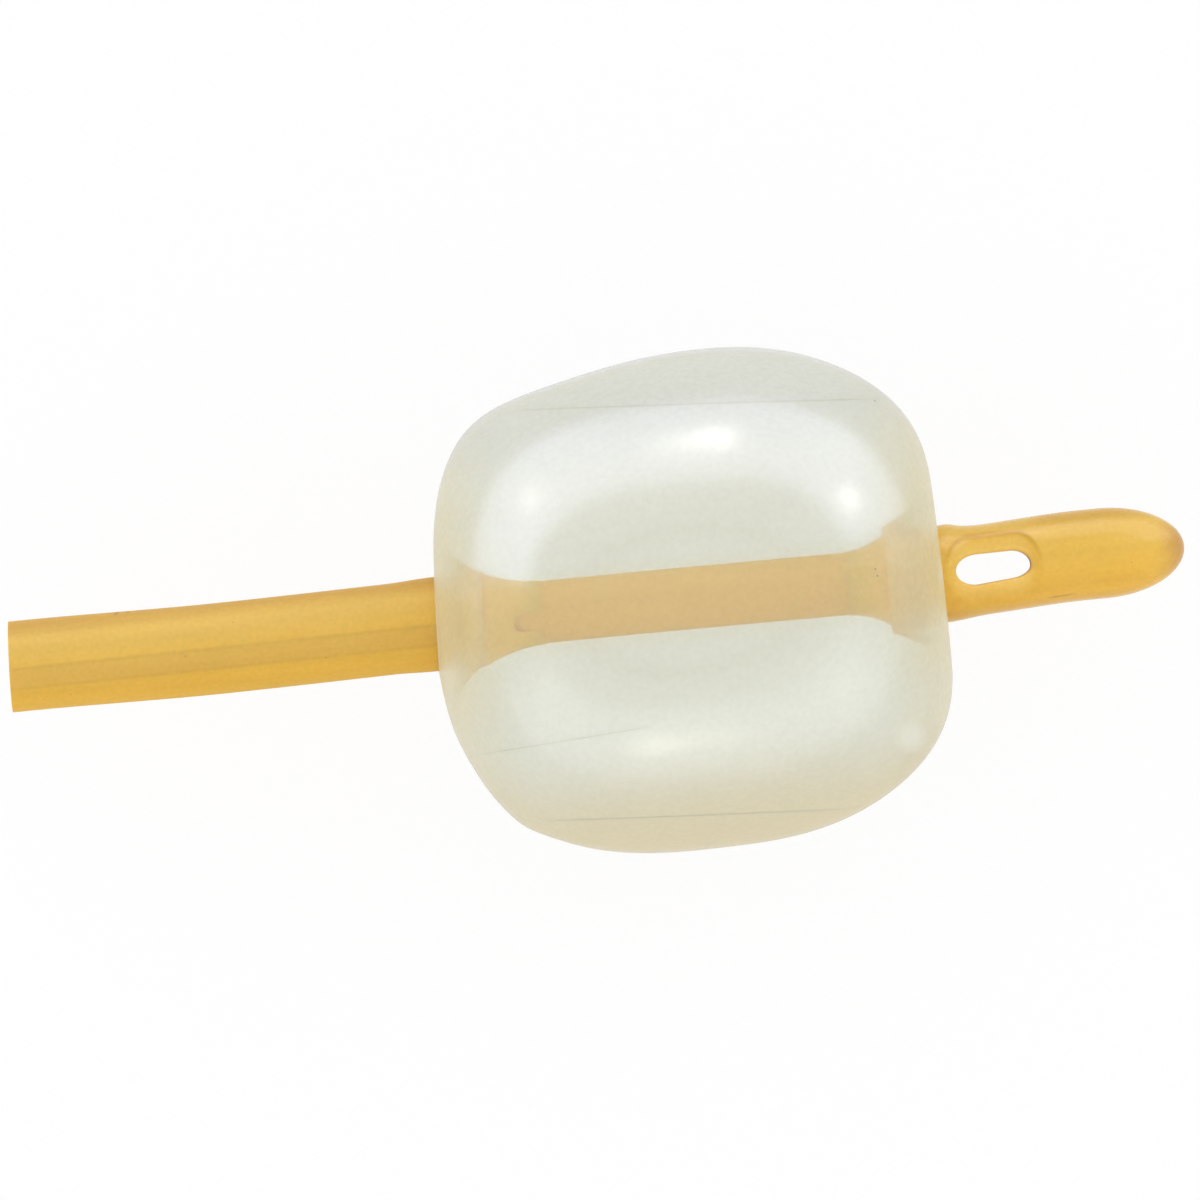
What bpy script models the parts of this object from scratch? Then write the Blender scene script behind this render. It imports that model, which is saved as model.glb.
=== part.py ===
"""Balloon end of a two-way latex Foley urinary catheter, 20 French, with its 30 ml balloon inflated.

Metres, +Z up. The catheter lies along X, from the cut end of the shaft at -X to the tip at +X,
and rests on the small flat that the table presses into the soft balloon. The origin is on that flat,
under the balloon's widest section.
"""

import math

import bpy
from mathutils import Matrix

# Shaft, a drainage tube inside an overcoat
SHAFT_DIAMETER = 0.00667
TUBE_DIAMETER = 0.00458
DRAINAGE_BORE = 0.0032
SHAFT_LENGTH = 0.0312  # from the cut end to the balloon's back face
CUT_SLANT = math.radians(3)  # the cut is this far off square
COAT_TAPER = 0.0044  # the overcoat runs out on the drainage tube over this length

# Inflation channel, a groove along the inside of the overcoat
CHANNEL_WIDTH = 0.0014
CHANNEL_DEPTH = 0.00058
CHANNEL_ANGLE = math.radians(22)  # from straight up, towards -Y

# Balloon
BALLOON_DIAMETER = 0.03655
BALLOON_BACK = 0.0194  # from the widest section to its back end
BALLOON_FRONT = 0.01743  # from the widest section to its front end, before the shoulder is swelled
SHOULDER_POWER = 2.76  # 2 is an ellipse, and more squares the shoulders
BALLOON_WALL = 0.0003
BALLOON_LEAN = 0.012  # turned this far on its shaft about Z, in radians
BALLOON_DROP = 0.0001  # lies this far to -Y of the shaft
REST_PRESS = 0.0008  # how deep the flat is pressed into the underside

# Front shoulder, swelled all the way round
SHOULDER_SWELL = 0.00129
SHOULDER_ANGLE = math.radians(30)  # from straight ahead
SHOULDER_SPREAD = math.radians(19)

# Where the balloon stands out or lies flatter than a turned shape, each with its direction in plan
# from +X towards +Y, its height and its spread
UNEVEN_PLACES = (
    (math.radians(136), 0.00036, math.radians(10)),
    (math.radians(115), -0.00065, math.radians(18)),
    (math.radians(163), -0.00036, math.radians(11)),
    (math.radians(226), 0.0002, math.radians(5)),
)

# Roots, where the membrane thickens and is bonded round the shaft and round the tip
ROOT_DEPTH = 0.0036
ROOT_SPREAD = 0.0045
ROOT_FALL = 2.5  # 1 is a straight fall from root to membrane, and more hollows it
BACK_ROOT_DIAMETER = 0.0069
BACK_SWELL = 0.0033  # the shaft swells to its root over this length
FRONT_ROOT_DIAMETER = 0.0071
FRONT_SWELL = 0.0034

# Tip
TIP_DIAMETER = 0.00662
TIP_LENGTH = 0.0181  # from the balloon's front face to the end of the nose
NOSE_LENGTH = 0.006
SHANK_TAPER = 0.0032  # the shank runs out on the drainage tube over this length
EYE_LENGTH = 0.00557
EYE_WIDTH = 0.00227
EYE_SET = 0.004  # from the balloon's front face to the middle of the eyes
EYE_DIP = 0.00055  # how far the lip of an eye is sunk
EYE_DIP_REACH = 0.0009
EYE_LAND = 0.0005  # solid ring between the end of the drainage tube and the eyes
BORE_BEYOND_EYE = 0.0003

# Fits
BOND_GAP = 0.00003  # between bonded layers
FEATHER = 0.00004  # thickness at which a tapering layer ends

# Set of the catheter, which isn't quite straight: how far its middle line lies to +Y
SET_AT_CUT_END = 0.00024
SET_IN_BALLOON = 0.00015
SET_AT_EYES = -0.00015
SET_BEHIND_NOSE = 0.00018
SET_AT_NOSE_END = 0.0001

# Fineness of the facets
BALLOON_SEGMENTS = 56
TUBE_SEGMENTS = 40
CHANNEL_SEGMENTS = 16
EYE_SEGMENTS = 32
MEMBRANE_STEPS = 22
ROOT_STEPS = 5
SWELL_STEPS = 4
TAPER_STEPS = 6
NOSE_STEPS = 9
LONG_STEP = 0.008
SHORT_STEP = 0.004
LIP_STEP = 0.00055
SMALL_TURN = math.radians(0.1)
SHARP_TURN = math.radians(40)
SETTLING_ROUNDS = 12
MERGE = 0.000001

# Radii
SHAFT_RADIUS = SHAFT_DIAMETER / 2
TUBE_RADIUS = TUBE_DIAMETER / 2
BORE_RADIUS = DRAINAGE_BORE / 2
TIP_RADIUS = TIP_DIAMETER / 2
SEAT_RADIUS = TUBE_RADIUS + BOND_GAP
BACK_ROOT_RADIUS = BACK_ROOT_DIAMETER / 2
FRONT_ROOT_RADIUS = FRONT_ROOT_DIAMETER / 2
BACK_HOLE_RADIUS = BACK_ROOT_RADIUS + BOND_GAP
FRONT_HOLE_RADIUS = FRONT_ROOT_RADIUS + BOND_GAP
BALLOON_RADIUS = BALLOON_DIAMETER / 2
REST_HEIGHT = BALLOON_RADIUS - REST_PRESS


def bump(height, off, spread):
    """Height of a smooth bump at this distance off its middle."""
    return height * math.exp(-((off / spread) ** 2))


def skin_reach(angle):
    """From the balloon's middle to its skin as turned, at an angle from straight ahead."""
    length = BALLOON_FRONT if angle < math.pi / 2 else BALLOON_BACK
    share_x = abs(math.cos(angle)) / length
    share_r = math.sin(angle) / BALLOON_RADIUS
    plain = (share_x**SHOULDER_POWER + share_r**SHOULDER_POWER) ** (-1 / SHOULDER_POWER)
    return plain + bump(SHOULDER_SWELL, angle - SHOULDER_ANGLE, SHOULDER_SPREAD)


def skin_point(angle):
    reach = skin_reach(angle)
    return reach * math.cos(angle), reach * math.sin(angle)


def front_angle(radius):
    """The angle of the skin's point at this radius, on the front face."""
    angle = 0.0
    for _ in range(SETTLING_ROUNDS):
        angle = math.asin(radius / skin_reach(angle))
    return angle


def back_angle(radius):
    angle = math.pi
    for _ in range(SETTLING_ROUNDS):
        angle = math.pi - math.asin(radius / skin_reach(angle))
    return angle


# Places along X
BACK_FACE = skin_point(back_angle(BACK_HOLE_RADIUS))[0]
FRONT_FACE = skin_point(front_angle(FRONT_HOLE_RADIUS))[0]
CUT_END = BACK_FACE - SHAFT_LENGTH
COAT_FULL_END = BACK_FACE + ROOT_DEPTH
COAT_END = COAT_FULL_END + COAT_TAPER
SHANK_FULL_START = FRONT_FACE - ROOT_DEPTH
SHANK_START = SHANK_FULL_START - SHANK_TAPER
NOSE_END = FRONT_FACE + TIP_LENGTH
NOSE_START = NOSE_END - NOSE_LENGTH
EYE_X = FRONT_FACE + EYE_SET
EYE_START = EYE_X - EYE_LENGTH / 2
EYE_END = EYE_X + EYE_LENGTH / 2
SOCKET_END = EYE_START - EYE_LAND
TUBE_END = SOCKET_END - BOND_GAP
BORE_FULL_END = EYE_END + BORE_BEYOND_EYE

SET_POINTS = (
    (CUT_END, SET_AT_CUT_END),
    ((CUT_END + BACK_FACE) / 2, 0.0),
    (COAT_END, SET_IN_BALLOON),
    (EYE_START, SET_AT_EYES),
    (NOSE_START - TIP_RADIUS / 2, SET_BEHIND_NOSE),
    (NOSE_END, SET_AT_NOSE_END),
)


def smooth_step(share):
    """From 0 to 1, level at both ends."""
    share = min(max(share, 0.0), 1.0)
    return share * share * (3 - 2 * share)


def stations(start, end, step):
    """Even places from start to end, both included, no further apart than step."""
    count = max(1, math.ceil(abs(end - start) / step - MERGE))
    return [start + (end - start) * i / count for i in range(count + 1)]


def set_of(x):
    """How far the catheter's middle line lies to +Y at x."""
    for (x0, y0), (x1, y1) in zip(SET_POINTS, SET_POINTS[1:]):
        if x <= x1:
            return y0 + (y1 - y0) * smooth_step((x - x0) / (x1 - x0))
    return SET_POINTS[-1][1]


def on_middle_line(x, y, z):
    """A point of a straight tube, moved onto the catheter's middle line, with the cut's slant."""
    if x < CUT_END + MERGE:
        x += y * math.tan(CUT_SLANT)
    return x, y + set_of(x), z


def clear_scene():
    for item in list(bpy.data.objects):
        bpy.data.objects.remove(item)


def new_collection(name):
    collection = bpy.data.collections.new(name)
    bpy.context.scene.collection.children.link(collection)
    return collection


def new_material(name, colour, roughness, transmission=0.0):
    material = bpy.data.materials.new(name)
    material.use_nodes = True
    surface = material.node_tree.nodes["Principled BSDF"]
    surface.inputs["Base Color"].default_value = (*colour, 1)
    surface.inputs["Metallic"].default_value = 0.0
    surface.inputs["Roughness"].default_value = roughness
    surface.inputs["Transmission Weight"].default_value = transmission
    material.diffuse_color = (*colour, 1)
    return material


def turned_mesh(name, outline, segments, closed=True):
    """A mesh turned about X from (x, radius) points, whose outer side runs from front to back."""
    profile = bpy.data.meshes.new(name)
    edges = [(i, i + 1) for i in range(len(outline) - 1)]
    if closed:
        edges.append((len(outline) - 1, 0))
    profile.from_pydata([(radius, 0, x) for x, radius in outline], edges, [])
    guide = bpy.data.objects.new(name, profile)
    bpy.context.scene.collection.objects.link(guide)
    screw = guide.modifiers.new("Turn", "SCREW")
    screw.axis = "Z"
    screw.angle = 2 * math.pi
    screw.steps = segments
    screw.render_steps = segments
    screw.use_merge_vertices = True
    screw.merge_threshold = MERGE
    graph = bpy.context.evaluated_depsgraph_get()
    mesh = bpy.data.meshes.new_from_object(guide.evaluated_get(graph))
    mesh.transform(Matrix.Rotation(math.pi / 2, 4, "Y"))
    bpy.data.objects.remove(guide)
    bpy.data.meshes.remove(profile)
    mesh.name = name
    return mesh


def move_points(mesh, place):
    for vertex in mesh.vertices:
        vertex.co = place(*vertex.co)


def add_object(name, mesh, collection, axis, material=None):
    """An object on the catheter's axis, smooth but for its real edges."""
    item = bpy.data.objects.new(name, mesh)
    collection.objects.link(item)
    item.parent = axis
    if material:
        mesh.materials.append(material)
    mesh.shade_smooth()
    mesh.set_sharp_from_angle(angle=SHARP_TURN)
    return item


def cut(item, cutter):
    cutter.hide_render = True
    cutter.display_type = "WIRE"
    boolean = item.modifiers.new("Cut " + cutter.name, "BOOLEAN")
    boolean.operation = "DIFFERENCE"
    boolean.object = cutter


def build_drainage_tube(collection, axis, material):
    along = stations(CUT_END, TUBE_END, LONG_STEP)
    outside = [(x, TUBE_RADIUS) for x in reversed(along)]
    inside = [(x, BORE_RADIUS) for x in along]
    mesh = turned_mesh("drainage_tube", outside + inside, TUBE_SEGMENTS)
    move_points(mesh, on_middle_line)
    add_object("drainage_tube", mesh, collection, axis, material)


def run_out(full_radius, left):
    """Radius of a layer that runs out level on the drainage tube, left being the share still to go."""
    least = SEAT_RADIUS + FEATHER
    return least + (full_radius - least) * min(max(left, 0.0), 1.0) ** 2


def coat_radius(x):
    if x > COAT_FULL_END:
        return run_out(BACK_ROOT_RADIUS, (COAT_END - x) / COAT_TAPER)
    swell = smooth_step((x - BACK_FACE + BACK_SWELL) / BACK_SWELL)
    return SHAFT_RADIUS + (BACK_ROOT_RADIUS - SHAFT_RADIUS) * swell


def build_shaft_sleeve(collection, cutters, axis, material):
    swell_start = BACK_FACE - BACK_SWELL
    along = stations(CUT_END, swell_start, LONG_STEP)
    along += stations(swell_start, BACK_FACE, BACK_SWELL / SWELL_STEPS)[1:]
    along += stations(BACK_FACE, COAT_FULL_END, ROOT_DEPTH)[1:]
    along += stations(COAT_FULL_END, COAT_END, COAT_TAPER / TAPER_STEPS)[1:]
    outside = [(x, coat_radius(x)) for x in reversed(along)]
    inside = [(x, SEAT_RADIUS) for x in along]
    mesh = turned_mesh("shaft_sleeve", outside + inside, TUBE_SEGMENTS)
    move_points(mesh, on_middle_line)
    sleeve = add_object("shaft_sleeve", mesh, collection, axis, material)
    cut(sleeve, build_channel_cutter(cutters, axis))


def build_channel_cutter(cutters, axis):
    """An oval rod that lies half in the overcoat's wall, all along it."""
    past = SHAFT_RADIUS
    along = stations(CUT_END - past, COAT_END + past, LONG_STEP)
    outline = [(along[-1], 0.0)] + [(x, 1.0) for x in reversed(along)] + [(along[0], 0.0)]
    mesh = turned_mesh("inflation_channel", outline, CHANNEL_SEGMENTS, closed=False)
    sine = math.sin(CHANNEL_ANGLE)
    cosine = math.cos(CHANNEL_ANGLE)

    def in_wall(x, y, z):
        across = y * CHANNEL_WIDTH / 2
        out = SEAT_RADIUS + z * CHANNEL_DEPTH
        return x, across * cosine - out * sine + set_of(x), across * sine + out * cosine

    move_points(mesh, in_wall)
    return add_object("inflation_channel", mesh, cutters, axis)


def wall_at(radius, hole_radius):
    left = 1 - min(max((radius - hole_radius) / ROOT_SPREAD, 0.0), 1.0)
    return BALLOON_WALL + (ROOT_DEPTH - BALLOON_WALL) * left**ROOT_FALL


def under_skin(angle, hole_radius):
    """The point on the membrane's inner side, square in from the skin's point at this angle."""
    x, radius = skin_point(angle)
    x_before, radius_before = skin_point(angle - SMALL_TURN)
    x_after, radius_after = skin_point(angle + SMALL_TURN)
    run_x = x_after - x_before
    run_radius = radius_after - radius_before
    wall = wall_at(radius, hole_radius) / math.hypot(run_x, run_radius)
    return x - wall * run_radius, max(radius + wall * run_x, hole_radius)


def on_balloon(x, y, z):
    """A point of the balloon as turned, moved to where it bulges, leans, drops and is pressed flat."""
    radius = math.hypot(y, z)
    reach = math.hypot(x, radius)
    depth = skin_reach(math.atan2(radius, x)) - reach
    free = smooth_step((radius - FRONT_HOLE_RADIUS) / ROOT_SPREAD)
    push = 0.0
    for direction, height, spread in UNEVEN_PLACES:
        along = (x * math.cos(direction) + y * math.sin(direction)) / reach
        push += bump(height, math.acos(min(along, 1.0)), spread)
    grown = 1 + push * free / reach
    x *= grown
    y *= grown
    z *= grown
    held_y = y + set_of(x)
    free_y = y + BALLOON_LEAN * x - BALLOON_DROP
    return x - BALLOON_LEAN * y * free, held_y + (free_y - held_y) * free, max(z, depth - REST_HEIGHT)


def build_balloon(collection, axis, material):
    step = ROOT_SPREAD / ROOT_STEPS
    front = [front_angle(r) for r in stations(FRONT_HOLE_RADIUS, FRONT_HOLE_RADIUS + ROOT_SPREAD, step)]
    back = [back_angle(r) for r in stations(BACK_HOLE_RADIUS + ROOT_SPREAD, BACK_HOLE_RADIUS, step)]
    between = stations(front[-1], back[0], (back[0] - front[-1]) / MEMBRANE_STEPS)
    angles = front + between[1:-1] + back
    skin = [skin_point(angle) for angle in angles]
    middle = math.pi / 2
    inside = [under_skin(a, FRONT_HOLE_RADIUS if a < middle else BACK_HOLE_RADIUS) for a in reversed(angles)]
    mesh = turned_mesh("balloon", skin + inside, BALLOON_SEGMENTS)
    move_points(mesh, on_balloon)
    add_object("balloon", mesh, collection, axis, material)


def tip_radius(x):
    if x > NOSE_START:
        share = (x - NOSE_START) / NOSE_LENGTH
        return TIP_RADIUS * math.sqrt(max(1 - share * share, 0.0))
    if x < SHANK_FULL_START:
        return run_out(FRONT_ROOT_RADIUS, (x - SHANK_START) / SHANK_TAPER)
    swell = 1 - smooth_step((x - FRONT_FACE) / FRONT_SWELL)
    return TIP_RADIUS + (FRONT_ROOT_RADIUS - TIP_RADIUS) * swell


def on_tip(x, y, z):
    """A point of the tip as turned, with the skin sunk round the two eyes."""
    radius = math.hypot(y, z)
    if radius > SEAT_RADIUS + FEATHER and FRONT_FACE < x < NOSE_START:
        round_eye = tip_radius(x) * math.atan2(abs(y), abs(z))
        past_end = max(abs(x - EYE_X) - (EYE_LENGTH - EYE_WIDTH) / 2, 0.0)
        beyond = math.hypot(past_end, round_eye) - EYE_WIDTH / 2
        sunk = EYE_DIP * (1 - smooth_step(beyond / EYE_DIP_REACH))
        y *= 1 - sunk / radius
        z *= 1 - sunk / radius
    return x, y + set_of(x), z


def build_tip(collection, cutters, axis, material):
    nose = [NOSE_START + NOSE_LENGTH * math.cos(i * math.pi / 2 / NOSE_STEPS) for i in range(NOSE_STEPS)]
    lip_end = EYE_END + EYE_DIP_REACH
    along = stations(SHANK_START, SHANK_FULL_START, SHANK_TAPER / TAPER_STEPS)
    along += stations(SHANK_FULL_START, FRONT_FACE, ROOT_DEPTH)[1:]
    along += stations(FRONT_FACE, lip_end, LIP_STEP)[1:]
    along += stations(lip_end, NOSE_START, SHORT_STEP / 2)[1:]
    outside = [(x, tip_radius(x)) for x in nose + along[::-1]]
    outside[0] = (NOSE_END, 0.0)
    inside = [(x, SEAT_RADIUS) for x in stations(SHANK_START, SOCKET_END, SHORT_STEP)]
    inside += [(x, BORE_RADIUS) for x in stations(SOCKET_END, BORE_FULL_END, SHORT_STEP)]
    for i in range(1, TAPER_STEPS):
        angle = i * math.pi / 2 / TAPER_STEPS
        inside.append((BORE_FULL_END + BORE_RADIUS * math.sin(angle), BORE_RADIUS * math.cos(angle)))
    inside.append((BORE_FULL_END + BORE_RADIUS, 0.0))
    mesh = turned_mesh("tip", outside + inside, TUBE_SEGMENTS, closed=False)
    move_points(mesh, on_tip)
    tip = add_object("tip", mesh, collection, axis, material)
    cut(tip, build_eye_cutter(cutters, axis))


def build_eye_cutter(cutters, axis):
    """An oblong bar straight through the tip, which makes both eyes."""
    bpy.ops.mesh.primitive_cylinder_add(
        vertices=EYE_SEGMENTS, radius=EYE_WIDTH / 2, depth=2 * FRONT_ROOT_DIAMETER
    )
    cutter = bpy.context.active_object
    cutter.name = "eye_bar"
    mesh = cutter.data
    for collection in list(cutter.users_collection):
        collection.objects.unlink(cutter)
    cutters.objects.link(cutter)
    straight = EYE_LENGTH - EYE_WIDTH

    def spread(x, y, z):
        return EYE_X + x + math.copysign(straight / 2, x), y + set_of(EYE_X), z

    mesh.transform(Matrix.Rotation(math.pi / EYE_SEGMENTS, 4, "Z"))
    move_points(mesh, spread)
    cutter.parent = axis
    return cutter


def main():
    clear_scene()
    parts = new_collection("foley_urinary_catheter")
    cutters = new_collection("cutters")
    axis = bpy.data.objects.new("catheter_axis", None)
    axis.location = (0, BALLOON_DROP, REST_HEIGHT)
    parts.objects.link(axis)

    amber = new_material("amber_latex", (0.76, 0.47, 0.11), 0.42)
    coat = new_material("amber_latex_overcoat", (0.79, 0.5, 0.12), 0.4)
    moulded = new_material("moulded_latex_tip", (0.8, 0.5, 0.11), 0.35)
    milky = new_material("inflated_latex_membrane", (0.82, 0.83, 0.74), 0.3, transmission=0.6)

    build_drainage_tube(parts, axis, amber)
    build_shaft_sleeve(parts, cutters, axis, coat)
    build_balloon(parts, axis, milky)
    build_tip(parts, cutters, axis, moulded)


main()
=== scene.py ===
import math

import bpy
from mathutils import Matrix, Vector


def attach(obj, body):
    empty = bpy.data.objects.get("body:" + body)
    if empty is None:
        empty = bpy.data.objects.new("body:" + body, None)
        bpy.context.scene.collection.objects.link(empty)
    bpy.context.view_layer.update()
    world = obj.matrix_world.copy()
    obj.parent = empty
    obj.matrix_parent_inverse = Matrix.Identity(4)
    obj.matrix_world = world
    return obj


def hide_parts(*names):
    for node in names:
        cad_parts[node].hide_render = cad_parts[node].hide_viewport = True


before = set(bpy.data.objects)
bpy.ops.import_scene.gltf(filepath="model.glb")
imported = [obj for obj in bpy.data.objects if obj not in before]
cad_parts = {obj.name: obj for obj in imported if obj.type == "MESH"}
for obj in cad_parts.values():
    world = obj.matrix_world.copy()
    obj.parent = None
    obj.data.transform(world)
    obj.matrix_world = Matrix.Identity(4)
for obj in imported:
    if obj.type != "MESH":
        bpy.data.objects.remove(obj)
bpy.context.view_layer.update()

# shapes are worked out in millimetres round the catheter's axis, and scaled to metres as finished meshes
mm = 0.001
sharpTurn = math.radians(50)  # an edge that bends more than this stays crisp

shaft = {
    "diameter": 6.67,  # 20 French
    "tubeDiameter": 4.58,  # the inner tube, which is seen through the balloon
    "boreDiameter": 3.2,
    "length": 31.2,  # from the cut to the balloon
    "cutSlant": 3,  # degrees off square
    "coatTaper": 4.4,  # length over which the overcoat runs out inside the balloon
    "rootDiameter": 6.9,  # of the swelling under the balloon's root
    "rootSwell": 3.3,
    "bondGap": 0.03,
    "feather": 0.04,  # thickness of the overcoat's thin end
    "turnSteps": 96,
    "tubeStep": 0.5,
    "coatStep": 0.3,
}

# the inflation channel, a groove along the inside of the overcoat
channel = {
    "width": 1.4,
    "depth": 0.58,
    "angle": 15.5,  # degrees from the top
    "endShallower": 0.5,  # how much shallower it is where it opens into the balloon
    "endRun": 2,
    "turnSteps": 32,
    "step": 1.0,
}

balloon = {
    "diameter": 36.55,
    "back": 19.4,
    "front": 17.43,
    "shoulderPower": 2.76,  # 2 gives an oval and more gives squarer shoulders
    "wall": 0.3,
    "lean": 0.012,
    "drop": 0.1,
    "press": 0.8,  # depth of the flat that it rests on
    "pressSoftness": 0.35,  # how far the flat's rim is eased
    "swell": 1.29,  # how much fuller the front shoulder is
    "swellAngle": 30,
    "swellSpread": 19,
    "rootDepth": 3.6,
    "rootSpread": 4.5,
    "rootFall": 2.5,  # how fast the rubber thins away from a root
    # direction in plan, height and spread of each place where the skin stands out or lies flatter
    "unevenPlaces": (
        (136, 0.36, 10),
        (115, -0.65, 18),
        (163, -0.36, 11),
        (226, 0.2, 5),
        (210, -0.2, 5),
    ),
    "backRootTilt": 0.052,  # the skin meets the shaft further in on the side towards the window
    "frontRootIn": 0.2,  # and meets the tip a little further in all round
    "turnSteps": 180,
    "rootStep": 0.12,
    "skinStep": 1.3,  # degrees
}

tip = {
    "diameter": 6.62,
    "length": 18.1,
    "noseLength": 6,
    "shankTaper": 3.2,
    "rootDiameter": 7.1,
    "rootSwell": 3.4,
    "rootBump": 0.13,  # the bonded root stands out this much on one side
    "rootBumpAt": 0.9,
    "rootBumpSpread": 0.7,
    "eyeLength": 5.57,
    "eyeWidth": 2.27,
    "eyeSet": 4,  # from the balloon to the middle of an eye
    "eyeEnds": (1.65, 1.4),  # how long the rounding is at an eye's back and front
    "eyeTaper": 0.28,  # how much narrower an eye is at its front, on the side away from the window
    "eyeDip": 0.55,
    "dipAlong": 0.75,  # how far the dip reaches past an eye's ends
    "dipAcross": 1.7,  # and past its sides
    "dipEdge": 0.45,  # how crisp the dip's rim is, from 0 to 1
    "lipRound": 0.3,
    "lipTurn": 70,  # degrees
    "eyeLand": 0.5,  # between the tube's end and the eyes
    "boreBeyondEye": 0.3,
    "turnSteps": 144,
    "noseSteps": 24,
    "skinStep": 0.16,
    "seatStep": 0.4,
    "boreStep": 0.2,
    "boreEndSteps": 12,
    "eyeSteps": 96,
    "lipSteps": 7,
}

# how far the catheter's middle line lies to +Y, as it isn't quite straight
setting = {"cutEnd": 0.24, "inBalloon": 0.15, "atEyes": -0.15, "behindNose": 0.18, "noseEnd": 0.1}

shaftRadius = shaft["diameter"] / 2
tubeRadius = shaft["tubeDiameter"] / 2
boreRadius = shaft["boreDiameter"] / 2
seatRadius = tubeRadius + shaft["bondGap"]
backRoot = shaft["rootDiameter"] / 2
frontRoot = tip["rootDiameter"] / 2
backHole = backRoot + shaft["bondGap"]
frontHole = frontRoot + shaft["bondGap"]
balloonRadius = balloon["diameter"] / 2
tipRadius = tip["diameter"] / 2
axisHeight = balloonRadius - balloon["press"]
axisPlace = Vector((0, balloon["drop"], axisHeight))


def smoothStep(share):
    share = min(max(share, 0.0), 1.0)
    return share * share * (3 - 2 * share)


def bump(height, off, spread):
    return height * math.exp(-((off / spread) ** 2))


def stations(start, end, step):
    count = max(1, math.ceil(abs(end - start) / step - 1e-6))
    return [start + (end - start) * i / count for i in range(count + 1)]


# the balloon's skin as turned, by the angle from straight ahead
def skinReach(angle):
    length = balloon["front"] if angle < math.pi / 2 else balloon["back"]
    power = balloon["shoulderPower"]
    shareX = abs(math.cos(angle)) / length
    shareR = math.sin(angle) / balloonRadius
    swell = bump(
        balloon["swell"],
        angle - math.radians(balloon["swellAngle"]),
        math.radians(balloon["swellSpread"]),
    )
    return (shareX**power + shareR**power) ** (-1 / power) + swell


def skinPoint(angle):
    reach = skinReach(angle)
    return reach * math.cos(angle), reach * math.sin(angle)


def angleAt(radius, front):
    angle = 0.0
    for _ in range(12):  # it settles in fewer rounds
        angle = math.asin(radius / skinReach(angle if front else math.pi - angle))
    return angle if front else math.pi - angle


# places along the catheter, from the balloon's middle
backFace = skinPoint(angleAt(backHole, False))[0]
frontFace = skinPoint(angleAt(frontHole, True))[0]
cutEnd = backFace - shaft["length"]
coatFullEnd = backFace + balloon["rootDepth"]
coatEnd = coatFullEnd + shaft["coatTaper"]
shankFullStart = frontFace - balloon["rootDepth"]
shankStart = shankFullStart - tip["shankTaper"]
noseEnd = frontFace + tip["length"]
noseStart = noseEnd - tip["noseLength"]
eyeX = frontFace + tip["eyeSet"]
eyeStart = eyeX - tip["eyeLength"] / 2
eyeEnd = eyeX + tip["eyeLength"] / 2
socketEnd = eyeStart - tip["eyeLand"]
tubeEnd = socketEnd - shaft["bondGap"]
boreFullEnd = eyeEnd + tip["boreBeyondEye"]

setPoints = (
    (cutEnd, setting["cutEnd"]),
    ((cutEnd + backFace) / 2, 0.0),
    (coatEnd, setting["inBalloon"]),
    (eyeStart, setting["atEyes"]),
    (noseStart - tipRadius / 2, setting["behindNose"]),
    (noseEnd, setting["noseEnd"]),
)


def setOf(x):
    for (x0, y0), (x1, y1) in zip(setPoints, setPoints[1:]):
        if x <= x1:
            return y0 + (y1 - y0) * smoothStep((x - x0) / (x1 - x0))
    return setPoints[-1][1]


def turnedMesh(name, outline, segments, closed=True):
    # outline is (x, radius) in mm, its outer side from front to back
    profile = bpy.data.meshes.new(name)
    edges = [(i, i + 1) for i in range(len(outline) - 1)]
    if closed:
        edges.append((len(outline) - 1, 0))
    profile.from_pydata([(radius, 0, x) for x, radius in outline], edges, [])
    guide = bpy.data.objects.new(name, profile)
    bpy.context.scene.collection.objects.link(guide)
    screw = guide.modifiers.new("turn", "SCREW")
    screw.axis = "Z"
    screw.angle = 2 * math.pi
    screw.steps = screw.render_steps = segments
    screw.use_merge_vertices = True
    screw.merge_threshold = 0.0005  # mm, so only points on the axis join
    graph = bpy.context.evaluated_depsgraph_get()
    mesh = bpy.data.meshes.new_from_object(guide.evaluated_get(graph))
    mesh.transform(Matrix.Rotation(math.pi / 2, 4, "Y"))
    bpy.data.objects.remove(guide)
    return mesh


def movePoints(mesh, place):
    for vertex in mesh.vertices:
        vertex.co = place(*vertex.co)


def smoothFaces(mesh):
    mesh.shade_smooth()
    mesh.set_sharp_from_angle(angle=sharpTurn)


def newPiece(name, mesh):
    # from millimetres round the catheter's axis to metres in the frame
    mesh.transform(Matrix.Translation(axisPlace * mm) @ Matrix.Scale(mm, 4))
    smoothFaces(mesh)
    piece = bpy.data.objects.new(name, mesh)
    bpy.context.scene.collection.objects.link(piece)
    return piece


def cutAway(piece, cutter):
    boolean = piece.modifiers.new("cut", "BOOLEAN")
    boolean.operation = "DIFFERENCE"
    boolean.solver = "EXACT"
    boolean.object = cutter
    graph = bpy.context.evaluated_depsgraph_get()
    cutMesh = bpy.data.meshes.new_from_object(piece.evaluated_get(graph))
    piece.modifiers.clear()
    piece.data = cutMesh
    smoothFaces(cutMesh)
    bpy.data.objects.remove(cutter)


def standIn(piece, slotName, node, *finishes):
    for finish in finishes:
        piece.data.materials.append(finish)
    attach(piece, "root")
    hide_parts(node)


# colours and nodes
eased = {"interpolation_type": "SMOOTHSTEP"}  # settings that many nodes share
inColour = {"data_type": "RGBA"}
noiseSpan = (0.3, 0.7)  # nearly all of a noise texture lies between these


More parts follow.
